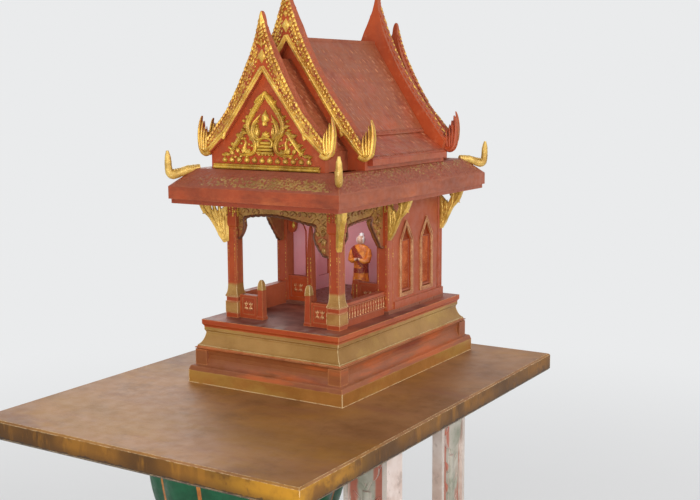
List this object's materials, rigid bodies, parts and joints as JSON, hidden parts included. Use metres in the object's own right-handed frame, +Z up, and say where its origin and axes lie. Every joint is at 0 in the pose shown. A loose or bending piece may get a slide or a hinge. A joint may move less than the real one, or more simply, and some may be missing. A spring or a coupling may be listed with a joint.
{
  "type": "spirit house on a slab table",
  "caption": "Small Thai spirit house of painted concrete with a tiered gabled roof, an open porch and a moulded plinth, on a slab table with carved legs and a round lotus pedestal.",
  "frame": {"origin": "on the ground under the middle of the table slab", "axes": "+Z up, -Y out of the entrance, +X to the right-hand side of the house as its left and right nodes name it when facing the same way as +Y"},
  "size_m": [0.86, 1.2, 1.785],
  "materials": {
    "slab_paint": "brown paint with worn gold, on a precast concrete slab",
    "leg_plaster": "weathered plaster with faded paint",
    "green_paint": "gloss green enamel with gold lines, on cast concrete",
    "dark_red_paint": "worn dark red paint on cast concrete",
    "olive_gold_paint": "worn bronze-gold paint on cast concrete",
    "floor_paint": "mauve-brown paint on cast concrete",
    "red_paint": "orange-red paint on cast concrete",
    "gold_paint": "gold paint on cast concrete",
    "robe_paint": "painted cast figure"
  },
  "bodies": {
    "root": {"table_slab": "slab_paint", "table_front_leg": "leg_plaster", "table_rear_legs": "leg_plaster", "lotus_pedestal": "green_paint", "plinth_base": "dark_red_paint", "soffit": "dark_red_paint", "plinth_body": "olive_gold_paint", "chamber_floor": "floor_paint", "front_left_post": "red_paint", "front_right_post": "red_paint", "front_rail": "red_paint", "left_rail": "red_paint", "right_rail": "red_paint", "chamber_posts": "red_paint", "chamber_rail": "red_paint", "left_wall": "red_paint", "right_wall": "red_paint", "rear_wall": "red_paint", "window_panels": "red_paint", "front_eave": "red_paint", "rear_eave": "red_paint", "left_eave": "red_paint", "right_eave": "red_paint", "left_second_tier": "red_paint", "right_second_tier": "red_paint", "left_main_roof": "red_paint", "right_main_roof": "red_paint", "roof_ridge": "red_paint", "front_lower_roof": "red_paint", "rear_lower_roof": "red_paint", "front_upper_gable": "red_paint", "rear_upper_gable": "red_paint", "front_lower_gable": "red_paint", "rear_lower_gable": "red_paint", "window_frames": "gold_paint", "front_valance": "gold_paint", "left_valance": "gold_paint", "right_valance": "gold_paint", "eave_brackets": "gold_paint", "front_tympanum": "gold_paint", "rear_tympanum": "gold_paint", "hip_finials": "gold_paint", "guardian_figure": "robe_paint"}
  },
  "joints": []
}
